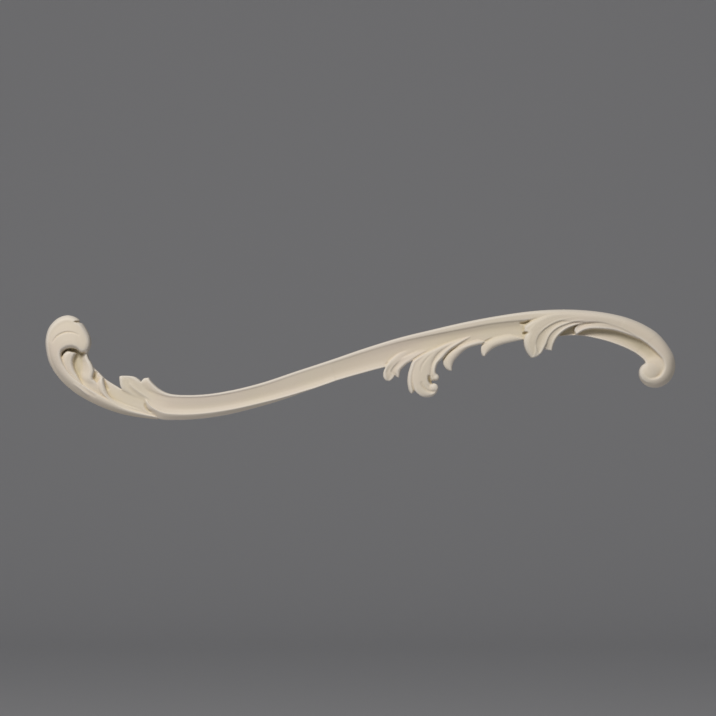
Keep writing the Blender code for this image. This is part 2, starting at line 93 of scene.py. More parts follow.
PLUME_RIM = (0.80, 0.95, 1.00, 1.00, 0.985, 0.97)
PLUME_RIM_TIP = (0.76, 0.92, 1.00, 0.98, 0.90, 0.76)
PLUME_FLUTE = (0.92, 0.92, 0.95, 1.00, 0.98, 0.84)
CHANNEL = (0.60, 0.56, 0.54, 0.53, 0.52, 0.52, 0.52, 0.52, 0.53, 0.57, 0.70)
CHANNEL_COVE = (0.98, 0.89, 0.80, 0.71, 0.63, 0.57, 0.54, 0.54, 0.60, 0.72)
CHANNEL_END = (1.00, 0.96, 0.92, 0.88, 0.85, 0.83, 0.82, 0.82)
SCOOP = (1.00, 0.965, 0.942, 0.932, 0.928, 0.925, 0.90)
SCOOP_TIP = (0.99, 0.90, 0.90, 0.93, 0.965, 0.99, 0.95)
LOBE = (0.80, 0.95, 1.00, 1.00, 1.00, 0.98)
LOBE_ROOT = (1.00, 1.00, 1.00, 1.00, 1.00, 0.985)
FLUTE = (0.985, 0.945, 0.928, 0.928, 0.945, 0.97, 0.985)
FLUTE_TIP = (1.00, 0.975, 0.955, 0.95, 0.97, 1.00, 0.94)
TOOTH = (0.985, 0.945, 0.92, 0.915, 0.935, 0.965, 0.86)
TONGUE = (0.86, 0.97, 1.00, 1.00, 1.00, 1.00)
SECOND_LEAF = (0.93, 0.95, 0.96, 0.97, 0.98, 0.99, 0.99)
SECOND_LEAF_ROOT = (0.76, 0.77, 0.80, 0.85, 0.90, 0.95, 1.00)
FLAT = (1.0, 1.0, 1.0)


class Fall(Enum):
    """How a boss falls to its rim, as the power of its rounding."""

    BALL = 0.5
    CUSHION = 0.75


@dataclass(frozen=True)
class Strand:
    """One carved strand: its profile, and its stations along the sheet.

    A station is a point on the first rail, a point on the second rail, the height above the back and,
    where the strand changes its profile, the share of its second profile.
    """

    name: str
    profile: tuple[float, ...]
    stations: tuple[tuple[float, ...], ...]
    second: tuple[float, ...] = ()
    blend: float = 0.5


@dataclass(frozen=True)
class Boss:
    """A round boss: centre and radius on the sheet, height at its rim and at its top, and its fall."""

    name: str
    x: float
    y: float
    radius: float
    rim: float
    top: float
    fall: Fall = Fall.BALL
    blend: float = 1.0


@dataclass(frozen=True)
class Tooling:
    """A fine groove, or a fine ridge where its depth is negative, that fades out at both ends."""

    points: tuple[tuple[float, float], ...]
    width: float
    depth: float
    reach: float = 3.0
    steps_a_knot: int = 24


def smooth_curve(points: np.ndarray, places: np.ndarray) -> np.ndarray:
    """A centripetal Catmull-Rom curve through the points.

    Args:
        points: one row a knot; the first two columns set the pace.
        places: where to read the curve, counted in knots from the first.

    Returns:
        One row for each place.
    """
    knots = np.asarray(points, float)
    gaps = np.sqrt(np.maximum(np.linalg.norm(np.diff(knots[:, :2], axis=0), axis=1), 1e-6))
    slopes = np.diff(knots, axis=0) / gaps[:, None]
    weight = (gaps[:-1] / (gaps[:-1] + gaps[1:]))[:, None]
    middle = slopes[:-1] * (1 - weight) + slopes[1:] * weight
    tangents = np.vstack([2 * slopes[0] - middle[0], middle, 2 * slopes[-1] - middle[-1]])
    index = np.minimum(places.astype(int), len(knots) - 2)
    t = (places - index)[:, None]
    gap = gaps[index][:, None]
    return (
        (2 * t**3 - 3 * t**2 + 1) * knots[index]
        + (t**3 - 2 * t**2 + t) * gap * tangents[index]
        + (3 * t**2 - 2 * t**3) * knots[index + 1]
        + (t**3 - t**2) * gap * tangents[index + 1]
    )


def profile_heights(shares: tuple[float, ...], across: np.ndarray) -> np.ndarray:
    """The profile's share of height at each place across, smooth through its evenly spaced shares."""
    row = np.column_stack([np.linspace(0, 1, len(shares)), shares])
    fine = smooth_curve(row, np.linspace(0, len(shares) - 1, PROFILE_STEPS))
    return np.interp(across, fine[:, 0], fine[:, 1])


def soft_maximum(first: np.ndarray, second: np.ndarray, blend: float) -> np.ndarray:
    """The higher of two surfaces, eased over the blend's width where they cross."""
    near = np.clip(blend - np.abs(first - second), 0, None)
    return np.maximum(first, second) + near**2 / (4 * blend)


class Relief:
    """The carved surface as heights on a fine grid over the sheet, with how far each place is covered."""

    left = 40.0
    top = 308.0
    width = 642.0
    depth = 118.0
    open_air = 0.5
    patch_pace = 0.5
    patches_a_gap = 1.3
    fewest_along = 4
    fewest_across = 12
    least_cover = 0.02
    least_share = 1e-6

    def __init__(self, step: float) -> None:
        """Starts with an empty sheet.

        Args:
            step: the grid's spacing in sheet units.
        """
        self.step = step
        self.columns = int(round(self.width / step)) + 1
        self.rows = int(round(self.depth / step)) + 1
        self.height = np.zeros((self.rows, self.columns))
        self.cover = np.zeros((self.rows, self.columns))
        self.x = self.left + step * np.arange(self.columns)[None, :]
        self.y = self.top + step * np.arange(self.rows)[:, None]

    def join(self, height: np.ndarray, cover: np.ndarray, blend: float) -> None:
        """Joins a surface to what is there, each cell by the share of it that either covers.

        Args:
            height: the new surface's height where it covers.
            cover: the share of each cell that it covers.
            blend: how softly it meets the rest, in sheet units of height.
        """
        both = cover * self.cover
        either = cover + self.cover - both
        total = (
            both * soft_maximum(self.height, height, blend)
            + (self.cover - both) * self.height
            + (cover - both) * height
        )
        self.height = np.where(either > self.least_share, total / np.maximum(either, self.least_share), 0)
        self.cover = either

    def add_strand(self, strand: Strand) -> None:
        """Lays one strand on the sheet, by the area that each small patch of it covers."""
        rows = np.array([tuple(s) + (0.0,) * (6 - len(s)) for s in strand.stations])
        pace = self.patch_pace * self.step
        gaps = np.maximum(
            np.hypot(*np.diff(rows[:, 0:2], axis=0).T), np.hypot(*np.diff(rows[:, 2:4], axis=0).T)
        )
        counts = np.maximum(self.fewest_along, np.ceil(self.patches_a_gap * gaps / pace)).astype(int)
        places = np.concatenate([i + np.arange(n) / n for i, n in enumerate(counts)] + [[len(rows) - 1.0]])
        rails = smooth_curve(rows[:, :4], places)
        order = np.arange(len(rows))
        heights = smooth_curve(np.column_stack([order, rows[:, 4]]), places)[:, 1]
        share = np.clip(smooth_curve(np.column_stack([order, rows[:, 5]]), places)[:, 1], 0, 1)[:, None]
        span = np.hypot(rails[:, 2] - rails[:, 0], rails[:, 3] - rails[:, 1]).max()
        across = np.linspace(0, 1, max(self.fewest_across, int(math.ceil(span / pace))) + 1)
        second = strand.second or strand.profile
        profile = profile_heights(strand.profile, across) * (1 - share)
        profile = (profile + profile_heights(second, across) * share) * heights[:, None]
        x = rails[:, 0:1] * (1 - across) + rails[:, 2:3] * across
        y = rails[:, 1:2] * (1 - across) + rails[:, 3:4] * across
        area = 0.5 * np.abs(
            (x[1:, 1:] - x[:-1, :-1]) * (y[:-1, 1:] - y[1:, :-1])
            - (y[1:, 1:] - y[:-1, :-1]) * (x[:-1, 1:] - x[1:, :-1])
        )
        self._splat(middle_of(x), middle_of(y), middle_of(profile), area, strand.blend)

    def _splat(
        self, x: np.ndarray, y: np.ndarray, height: np.ndarray, area: np.ndarray, blend: float
    ) -> None:
        """Shares small patches out among the grid's nodes and joins them to the surface."""
        across = ((x - self.left) / self.step).ravel()
        down = ((y - self.top) / self.step).ravel()
        column = np.floor(across).astype(int)
        row = np.floor(down).astype(int)
        right = across - column
        low = down - row
        weight = np.zeros(self.rows * self.columns)
        load = np.zeros(self.rows * self.columns)
        for i, j in ((0, 0), (0, 1), (1, 0), (1, 1)):
            part = area.ravel() * (low if i else 1 - low) * (right if j else 1 - right)
            place = (row + i) * self.columns + column + j
            weight += np.bincount(place, part, len(weight))
            load += np.bincount(place, part * height.ravel(), len(weight))
        cover = np.clip(weight / self.step**2, 0, 1).reshape(self.height.shape)
        surface = (load / np.maximum(weight, 1e-9)).reshape(self.height.shape)
        self.join(surface, np.where(cover > self.least_cover, cover, 0), blend)

    def add_boss(self, boss: Boss) -> None:
        """Raises one round boss."""
        far = np.hypot(self.x - boss.x, self.y - boss.y)
        dome = np.clip(1 - (far / boss.radius) ** 2, 0, 1) ** boss.fall.value
        cover = np.clip((boss.radius - far) / self.step + 0.5, 0, 1)
        self.join(boss.rim + (boss.top - boss.rim) * dome, cover, boss.blend)

    def _share_inside(self, corners: tuple[tuple[float, float], ...]) -> np.ndarray:
        """The share of each cell that lies inside a ring of corners that turns clockwise."""
        inside = np.full(self.height.shape, np.inf)
        for (ax, ay), (bx, by) in zip(corners, corners[1:] + corners[:1]):
            edge = math.hypot(bx - ax, by - ay)
            inside = np.minimum(inside, ((bx - ax) * (self.y - ay) - (by - ay) * (self.x - ax)) / edge)
        return np.clip(inside / self.step + 0.5, 0, 1)

    def cut_wedge(self, corners: tuple[tuple[float, float], ...], floor: float) -> None:
        """Cuts a three-cornered notch down to a height."""
        share = self._share_inside(corners)
        self.height = self.height * (1 - share) + np.minimum(self.height, floor) * share

    def cut_outline(self, corners: tuple[tuple[float, float], ...]) -> None:
        """Cuts a three-cornered notch right through the edge."""
        self.cover = self.cover * (1 - self._share_inside(corners))

    def tool(self, tooling: Tooling) -> None:
        """Draws one fine groove or ridge along its points."""
        knots = np.array(tooling.points, float)
        places = np.linspace(0, len(knots) - 1, tooling.steps_a_knot * (len(knots) - 1) + 1)
        line = smooth_curve(knots, places)
        reach = tooling.reach * tooling.width
        low_x, low_y = line.min(axis=0) - reach
        high_x, high_y = line.max(axis=0) + reach
        columns = np.flatnonzero((self.x[0] > low_x) & (self.x[0] < high_x))
        rows = np.flatnonzero((self.y[:, 0] > low_y) & (self.y[:, 0] < high_y))
        window = np.ix_(rows, columns)
        gap = np.hypot(
            self.x[0][columns][None, :, None] - line[:, 0], self.y[:, 0][rows][:, None, None] - line[:, 1]
        )
        along = places[gap.argmin(axis=2)] / places[-1]
        fade = np.sqrt(np.clip(np.sin(math.pi * along), 0, 1))
        self.height[window] -= tooling.depth * fade * np.exp(-((gap.min(axis=2) / tooling.width) ** 2))

    def soften(self, spread: float) -> None:
        """Eases the surface and its outline as the mould did.

        Args:
            spread: the width of the easing, in sheet units.
        """
        cover = blurred(self.cover, spread / self.step)
        load = blurred(self.height * self.cover, spread / self.step)
        self.height = load / np.maximum(cover, self.least_share)
        self.cover = cover

    def hollows(self, spread: float) -> np.ndarray:
        """How far each place lies below its surroundings, in sheet units; crests are negative."""
        cover = np.clip(2 * self.cover, 0, 1)
        around = blurred(self.height * cover, spread / self.step)
        near = blurred(cover, spread / self.step)
        return around / (near + self.open_air * (1 - near)) - self.height

    def read(self, field: np.ndarray, x: np.ndarray, y: np.ndarray) -> np.ndarray:
        """The field's value at points of the sheet, between its nodes."""
        across = np.clip((x - self.left) / self.step, 0, self.columns - 1.001)
        down = np.clip((y - self.top) / self.step, 0, self.rows - 1.001)
        j, i = across.astype(int), down.astype(int)
        u, v = across - j, down - i
        upper = field[i, j] * (1 - u) + field[i, j + 1] * u
        lower = field[i + 1, j] * (1 - u) + field[i + 1, j + 1] * u
        return upper * (1 - v) + lower * v


def middle_of(field: np.ndarray) -> np.ndarray:
    """The mean of each cell's four corners."""
    return 0.25 * (field[1:, 1:] + field[1:, :-1] + field[:-1, 1:] + field[:-1, :-1])


def blurred(field: np.ndarray, cells: float) -> np.ndarray:
    """The field under a Gaussian of this width in cells."""
    reach = int(math.ceil(BLUR_REACH * cells))
    taps = np.exp(-0.5 * (np.arange(-reach, reach + 1) / cells) ** 2)
    taps /= taps.sum()
    for axis in (0, 1):
        padded = np.pad(field, [(reach, reach) if a == axis else (0, 0) for a in (0, 1)])
        length = field.shape[axis]
        field = sum(tap * padded.take(range(i, i + length), axis) for i, tap in enumerate(taps))
    return field


@dataclass(frozen=True)
class Carving:
    """One part of the carving: its strands, its bosses, its fine lines and its cuts."""

    bosses: tuple[Boss, ...] = ()

    def strands(self) -> list[Strand]:
        """The strands, from the lowest to the highest."""
        raise NotImplementedError

    def tooling(self) -> list[Tooling]:
        """The fine grooves and ridges, where the part has some."""
        return []

    def cut(self, relief: Relief) -> None:
        """Makes the notches, where the part has some."""

    def carve(self, relief: Relief) -> None:
        """Adds this part of the carving to the relief."""
        for strand in self.strands():
            relief.add_strand(strand)
        for boss in self.bosses:
            relief.add_boss(boss)
        for line in self.tooling():
            relief.tool(line)
        self.cut(relief)
        LOG.info("carved %s", type(self).__name__)


@dataclass(frozen=True)
class FlutedStem(Carving):
    """The long cove, the fillet above it that swells into the scroll's band, and the lower lip."""

    def strands(self) -> list[Strand]:
        """The strands, from the lowest to the highest."""
        mouth = Strand("cove_mouth", COVE, (
            (142, 390, 144.5, 400.5, 10.3, 1), (151, 393, 150, 406, 11.1, 1),
            (160, 393.3, 158, 410.3, 11.4, 0.8), (172, 395.3, 171.5, 413.2, 11.6, 0.2),
            (200, 395.7, 200, 413.2, 11.6), (230, 391.8, 231, 409.2, 11.6), (262, 384.3, 263.5, 402, 11.6),
            (295, 373.7, 298, 393, 11.6), (330, 362.3, 335, 380.5, 11.7)),
            COVE_MOUTH)
        cove = Strand("stem_cove", COVE, (
            (262, 384.3, 263.5, 402, 11.6), (295, 373.7, 298, 393, 11.6),
            (330, 362.3, 335, 380.5, 11.7, 0.15), (365, 351, 372, 369.9, 12, 0.35),
            (383, 345.8, 388, 365.5, 12.2, 0.45), (400, 340.8, 404, 358.5, 12.4, 0.55),
            (430, 334.2, 436, 348.5, 12.5, 0.75), (460, 328.4, 466, 345, 12.6, 0.9),
            (490, 323, 494, 341.3, 12.8, 1), (524, 319.4, 526, 338.3, 13.2, 1),
            (546, 318.5, 546, 334, 13.2, 1)),
            COVE_DEEP)
        start = Strand("fillet_start", FILLET, (
            (148.3, 377.2, 143.5, 377.8, 10.8, 1), (150, 380.3, 145, 382, 11.6, 1),
            (154.6, 385.2, 149, 387.5, 11.7, 1), (160.5, 389.8, 156.5, 392.6, 11.8, 0.8),
            (168.5, 393.2, 167, 396, 12, 0.35), (182, 394.7, 182, 396.9, 12.1),
            (205, 394, 205.2, 396.2, 12.2), (230, 390.1, 231, 392.5, 12.2)),
            FILLET_TIP)
        band = Strand("fillet_and_band", FILLET, (
            (182, 394.7, 182, 396.9, 12.1), (205, 394, 205.2, 396.2, 12.2), (230, 390.1, 231, 392.5, 12.2),
            (262, 382.1, 263, 385, 12.2), (295, 371.1, 296, 374, 12.2), (330, 359.6, 331, 362.8, 12.2),
            (365, 347.6, 366, 351.5, 12.5), (400, 336.9, 401, 341.3, 12.9), (430, 329.6, 431, 334.8, 13.1),
            (460, 322.6, 461, 329, 13.3), (490, 316.7, 491, 323.5, 13.6), (524, 311.5, 525, 320, 14.3, 0.1),
            (545, 309.6, 547, 319.5, 15.3, 0.5), (565, 309, 566, 320.8, 15.8, 0.9),
            (585, 309.9, 584, 321.8, 16, 1), (600, 311.5, 598, 321.7, 16, 1),
            (612, 313.6, 609, 323.6, 16, 1), (625, 316.8, 620, 327.2, 16, 1),
            (643, 324.1, 634, 335.6, 16, 1), (657, 333, 645, 342.8, 16, 1)),
            BAND)
        scroll = Strand("scroll_band", BAND, (
            (625, 316.8, 620, 327.2, 16), (643, 324.1, 634, 335.6, 16), (657, 333, 645, 342.8, 16),
            (667, 344.3, 655, 351.6, 16, 0.2), (673.6, 356, 661.6, 359.3, 15.6, 0.6),
            (675.2, 366, 662.8, 367, 15, 1), (672.8, 375.8, 659.8, 373.6, 14.8, 1),
            (665.5, 384, 656, 376.6, 14.6, 1), (655.5, 387.4, 652.5, 377.6, 14.2, 1),
            (646.5, 385.3, 649, 377.5, 13.7, 1), (640.8, 379.5, 645.6, 375.2, 12.8, 1),
            (639.2, 373, 643.5, 372, 12, 1)),
            SCROLL_BAND)
        lip = Strand("lower_lip", UNDERCUT_LIP, (
            (146.2, 399.4, 143.4, 401, 11), (148, 402.3, 143.4, 404.5, 12),
            (151.3, 405.8, 145.5, 409.8, 12.4), (156.5, 409, 151, 413.2, 12.4),
            (164, 412, 159, 418.6, 12.1), (178, 413.6, 177, 419.6, 11.8), (200, 412.8, 200, 418.3, 11.7),
            (225, 409.5, 226, 414.4, 11.6), (250, 404.5, 251, 408.4, 11.5),
            (280, 397.3, 280.5, 399.8, 11.5), (310, 387.6, 310.5, 389, 11.2)))
        return [mouth, cove, start, band, scroll, lip]


@dataclass(frozen=True)
class CurledTail(Carving):
    """The curled hood at the left end, the strands under it and the two small leaves."""

    nick: tuple[tuple[float, float], ...] = ((74.0, 321.3), (83, 318.6), (83, 323.8))
    nick_floor: float = 12.0
    nick_mouth: tuple[tuple[float, float], ...] = ((77.3, 321.2), (83, 318.4), (83, 323.9))

    def strands(self) -> list[Strand]:
        """The strands, from the lowest to the highest."""
        bed = Strand("bed", FLOOR, (
            (51, 342, 85.5, 347, 6.5), (53, 360, 85.5, 357, 7.5), (63, 375.5, 89.5, 364, 8),
            (78, 388, 97.3, 371.4, 8), (93, 398, 104.5, 378.5, 8), (109, 407, 114, 384.7, 8.2),
            (129, 413.5, 126, 391, 8.5), (154, 417.6, 152, 397, 9)))
        hood = Strand("hood", HOOD, (
            (158, 418.9, 154, 415.5, 8.8, 1), (128, 415.2, 127, 408, 10.5, 1),
            (108, 409.5, 110, 400, 11.6, 1), (90, 401.7, 95, 391.5, 12.6, 1),
            (73, 391.6, 82.5, 384, 13.5, 1), (58.5, 378.3, 71, 374.5, 14.3, 0.95),
            (49.2, 364, 64, 364.5, 15.5, 0.75), (45.8, 351, 61.5, 356.5, 17, 0.35),
            (45.3, 339, 62.5, 351.3, 18), (48.8, 327, 66.5, 348.9, 19), (57.5, 317.9, 70, 348.2, 19.5),
            (67.5, 314.9, 74, 348.4, 19.5), (77, 318.3, 77.3, 349.8, 19.2)),
            OUTER_STRAND)
        hood_tip = Strand("hood_tip", HOOD, (
            (67.5, 314.9, 74, 348.4, 19.5), (77, 318.3, 77.3, 349.8, 19.2, 0.2),
            (84.3, 327, 79.6, 351.6, 18.7, 0.7), (89.3, 337, 82.3, 352.2, 17.8, 1),
            (90, 344, 84.8, 351.9, 16, 1), (87.6, 350.3, 86.6, 352.6, 12.8, 1)),
            HOOD_TIP)
        tucked = Strand("tucked_strand", ROLLED_RIGHT, (
            (66.8, 350.1, 77, 352.6, 13.8), (62.4, 354, 75, 355.4, 14.3), (61.3, 359.8, 73.3, 360.4, 14.2),
            (63.5, 367, 74, 367, 13.7), (68.5, 373.6, 77, 373.8, 12.9), (74.5, 380.5, 81, 380.5, 12),
            (82.5, 389, 87, 387.5, 10.8)))
        inner = Strand("inner_strand", RISING, (
            (78.3, 352.6, 86.6, 350.6, 12, 1), (75.2, 357.5, 87.6, 357.3, 12.4, 1),
            (74.3, 363, 90.6, 362.8, 12.9, 0.9), (74.5, 370, 93.3, 370, 13.1, 0.4),
            (76.5, 378.5, 92.5, 377.5, 13), (81.3, 385.5, 94, 385, 10.4)),
            RISING_STEEP)
        lower = Strand("inner_strand_low", RISING, (
            (74.5, 370, 93.3, 370, 11), (76.5, 378.5, 92.5, 377.5, 13, 0.1),
            (80.8, 385.5, 98.5, 384, 12.9, 0.8), (87, 391.3, 104, 391, 12.5, 1),
            (97, 397.5, 110.5, 397.3, 11.8, 1), (111, 403.2, 123, 403.5, 10.9, 1),
            (127, 409, 139, 409, 9.9, 1), (143, 413, 151, 412.8, 8.8, 1)),
            FALLING)
        ridge = Strand("ridge_strand", ROUNDED, (
            (100.3, 376.4, 102.6, 376.8, 11), (97.3, 380, 104, 382, 12.5), (95.7, 385, 105.3, 388.5, 12.6),
            (98, 391, 108, 394.3, 12.4), (105.5, 398.3, 114, 400.2, 11.9), (115, 404.3, 122.8, 405.3, 11.2),
            (130, 409.7, 137, 410.8, 10), (142, 412.8, 147.5, 413.5, 9)))
        first_leaf = Strand("first_leaf", RIBBED_LEAF, (
            (118.8, 375.8, 121, 375.3, 11), (118.8, 379, 131, 375.7, 11.6),
            (119.7, 385, 137.5, 378.5, 11.6), (122, 389.5, 141, 382.3, 11.2, 0.4),
            (129, 394, 146, 389, 10.4, 0.8), (138, 398.5, 153, 395, 9.8, 1), (148, 402, 161, 401, 9.4, 1)),
            RIBBED_LEAF_ROOT)
        second_leaf = Strand("second_leaf", SECOND_LEAF, (
            (143.8, 377.7, 148.3, 377.4, 11.2), (140.9, 381, 149.8, 380.8, 11.8),
            (141.2, 385.5, 153.7, 385.2, 11.9, 0.35), (145.3, 391, 160, 390.8, 11.7, 0.8),
            (152.5, 398, 167.5, 394.6, 11.5, 1), (166, 403, 182, 396.2, 11.4, 1)),
            SECOND_LEAF_ROOT)
        return [hood, hood_tip, bed, tucked, inner, lower, ridge, first_leaf, second_leaf]

    def tooling(self) -> list[Tooling]:
        """The hood's groove, the deep hollows beside the strands, and the leaves' fine lines."""
        return [
            Tooling(((52.5, 342.3), (55, 338.4), (57.7, 335.5), (61, 333.5), (65, 332), (69.5, 331.6),
                     (74, 332.4), (79.5, 334.9)), 0.6, 1.2),
            Tooling(((50.5, 329), (49, 338), (49.2, 348), (51.5, 360), (56.5, 371), (64, 380)), 0.9, 0.35),
            Tooling(((62, 357), (64.5, 351.6), (68, 349), (72.5, 348.2), (77, 349.3)), 1.3, 1.1),
            Tooling(((78, 353.2), (80.5, 352.8), (83, 352), (85.8, 351)), 0.6, 1.3),
            Tooling(((76, 354), (74.8, 358), (74.3, 363), (74.8, 368), (76.4, 374)), 1.8, 1.0),
            Tooling(((96, 371), (94.6, 374), (93.6, 377), (93, 380)), 1.7, 2.2),
            Tooling(((103, 378), (103.8, 381.5), (105.3, 385.5), (108, 389.5)), 1.3, 1.8),
            Tooling(((103.5, 389), (106.3, 394), (110, 398.2), (115, 402), (122, 406), (130, 409),
                     (139, 411.4)), 0.7, 1.2),
            Tooling(((73, 383), (79, 387.5), (84, 391.7), (89, 395.5)), 0.8, -0.8),
            Tooling(((80.5, 384), (84.5, 388), (89.5, 392.3), (96, 396.3)), 1.3, 0.8),
            Tooling(((123.5, 380), (127, 386), (131.5, 390.5), (137, 394.8), (143, 398.5)), 2.2, 0.5),
            Tooling(((129, 382.5), (133, 387.3), (139, 391.8), (146, 396.3), (154, 401.5)), 1.2, -0.5),
            Tooling(((144.4, 402.5), (144.9, 406.3), (147.3, 409.8), (151.5, 412)), 1.0, 1.5),
            Tooling(((120.3, 377), (120.6, 382), (121.3, 387), (123.5, 391)), 0.8, -0.5),
        ]

    def cut(self, relief: Relief) -> None:
        """Makes the nick in the hood's edge."""
        relief.cut_wedge(self.nick, self.nick_floor)
        relief.cut_outline(self.nick_mouth)


@dataclass(frozen=True)
class HangingLeaves(Carving):
    """The leaves that hang under the middle of the stem."""

    bosses: tuple[Boss, ...] = (
        Boss("plume_ball", 433.4, 387.2, 4.3, 12.6, 14.4, Fall.CUSHION, 1.5),
        Boss("plume_right_ball", 435.6, 377, 3.1, 11, 13.7, blend=1.0),
    )

    def strands(self) -> list[Strand]:
        """The strands, from the lowest to the highest."""
        spoon = Strand("spoon_leaf", SPOON, (
            (385.5, 380.2, 388.8, 380.6, 10.6), (383.4, 377.8, 392.1, 378.3, 11.4),
            (382.6, 374.8, 393.9, 375, 11.9), (383, 371.3, 390.4, 371.5, 12.2),
            (384.6, 367.5, 392.3, 367.4, 12.4, 0.3), (386.1, 364, 395.7, 363.6, 12.4, 0.7),
            (390.5, 359, 399.5, 360, 11.9, 1), (397.5, 353.5, 405, 356.8, 11, 1),
            (410, 348, 415.5, 352.8, 9.8, 1), (424, 343, 430, 348, 8.6, 1)),
            SPOON_ROOT)
        tooth = Strand("spoon_tooth", TOOTH_FLUTE, (
            (395.8, 376.3, 398.6, 377.5, 10.4), (393.6, 374.4, 399, 374.6, 11.2),
            (389.6, 372.2, 399.7, 371.3, 11.6), (390.4, 369, 401, 368.6, 12),
            (393.2, 365, 404, 365.6, 12.2), (396.4, 361.5, 407.8, 362.4, 12.3, 0.4),
            (400.5, 358.3, 412.4, 359.8, 12.2, 0.8), (408, 354.5, 420, 355.2, 11.9, 1),
            (419, 349.5, 430, 350.2, 10.5, 1)),
            FLUTE_ROOT)
        left_strand = Strand("plume_left", PLUME_RIM, (
            (410.6, 393.2, 412.4, 392.8, 11, 1), (408.6, 390.3, 414, 390.1, 12, 1),
            (407.2, 384.5, 413, 385.5, 12.8, 0.6), (407, 378.5, 412.5, 379.5, 13.2, 0.2),
            (407.8, 372.5, 412.9, 373, 13.5), (409.4, 367, 414.1, 367.5, 13.6),
            (411.2, 362, 415.6, 362.6, 13.6), (414.2, 358.6, 419, 359.6, 13.5),
            (420, 354.6, 426, 355.6, 13), (428, 350.4, 433.5, 351, 12.4), (437, 346.4, 441, 347.8, 11)),
            PLUME_RIM_TIP)
        plume = Strand("plume", PLUME, (
            (453, 340.5, 461, 337, 9.5), (437, 347, 448.5, 345.2, 12.4), (424.7, 355, 437.5, 352.5, 13.4),
            (415.8, 363, 432.4, 360, 13.8), (412.8, 372, 430.2, 368, 14), (412.4, 381, 429.2, 375, 14.1),
            (414, 389.3, 429, 380, 14), (417.4, 393.4, 430.2, 383.3, 13.9, 0.4),
            (421.8, 396.2, 432.1, 385.2, 13.8, 0.8), (427.2, 396.9, 433.1, 387.1, 13.6, 1),
            (432.4, 395.6, 433.8, 387.8, 13.3, 1), (436, 392.4, 434.2, 388.2, 13, 1),
            (437.5, 389.4, 434.4, 387.9, 12.6, 1)),
            PLUME_TIP)
        plume_right = Strand("plume_right", PLUME_FLUTE, (
            (465, 335.2, 475, 334.8, 9.5), (449, 343.5, 460, 343, 12.3), (438.3, 351.2, 449.8, 350, 13),
            (433.3, 357.8, 442.6, 357.6, 13.5), (430.4, 364, 437.3, 363, 13.7),
            (429.4, 369.5, 435.4, 369, 13.8), (429.3, 374.5, 435.6, 372.5, 13.6),
            (430.8, 378.7, 437, 374, 13.2), (432.8, 380.6, 438.8, 376.2, 12.4)))
        web = Strand("plume_web", FLAT, (
            (425, 364, 431, 364, 11), (425, 375, 431, 375, 11), (425.5, 389, 431.6, 386, 10)))
        third = Strand("third_leaf", ROUNDED, (
            (448.7, 370.2, 452, 370.2, 9.8), (444.7, 367.3, 452, 366, 10.6),
            (442.4, 361.5, 454, 360.4, 11.2), (443.5, 356.5, 458.6, 354.9, 11.7),
            (449.7, 350, 466, 348.7, 12), (460, 344, 475, 345.2, 12), (475, 338.5, 489, 342.4, 11)))
        fourth = Strand("fourth_leaf", ROUNDED, (
            (482.5, 355.7, 484.9, 355.7, 9.5), (480.8, 351.5, 488, 352, 10.3),
            (481, 346, 493.7, 347.5, 11.2), (484.3, 341.5, 501, 344.4, 11.9), (491.5, 337, 512, 341.5, 12),
            (505, 332.3, 524.5, 338.9, 11)))
        return [spoon, tooth, left_strand, plume, plume_right, web, third, fourth]

    def tooling(self) -> list[Tooling]:
        """The deep hollow in the plume, the curl round its ball, and the creases that free each leaf."""
        return [
            Tooling(((428.5, 374.5), (428.4, 378), (429.2, 380.8), (431, 382.3), (434, 382.2)), 1.1, 3.6),
            Tooling(((420.5, 381), (423, 386.5), (426.8, 390), (431, 391.4), (436, 390.3)), 1.3, 1.3),
            Tooling(((434, 351.3), (428.5, 355.7), (424.3, 360.5), (421, 366), (419.8, 372)), 0.9, 0.5),
            Tooling(((412.3, 359.6), (415, 357.5), (419.5, 354.6), (424, 352.1), (430, 349.6)), 0.8, 0.6),
            Tooling(((443, 350), (437.5, 355), (433, 360.5), (430.5, 366)), 1.1, 0.35),
            Tooling(((430.5, 379.3), (433, 379.6), (436, 379.2)), 0.5, 0.8),
            Tooling(((385.3, 364.3), (386.5, 363), (388, 361.5)), 0.7, 0.9),
            Tooling(((443.3, 358.5), (446.5, 354), (451, 350), (458.5, 346.2)), 0.8, 0.9),
            Tooling(((481.4, 345.5), (484, 341.8), (487.5, 339.5), (492.5, 337.7)), 0.7, 1.2),
        ]


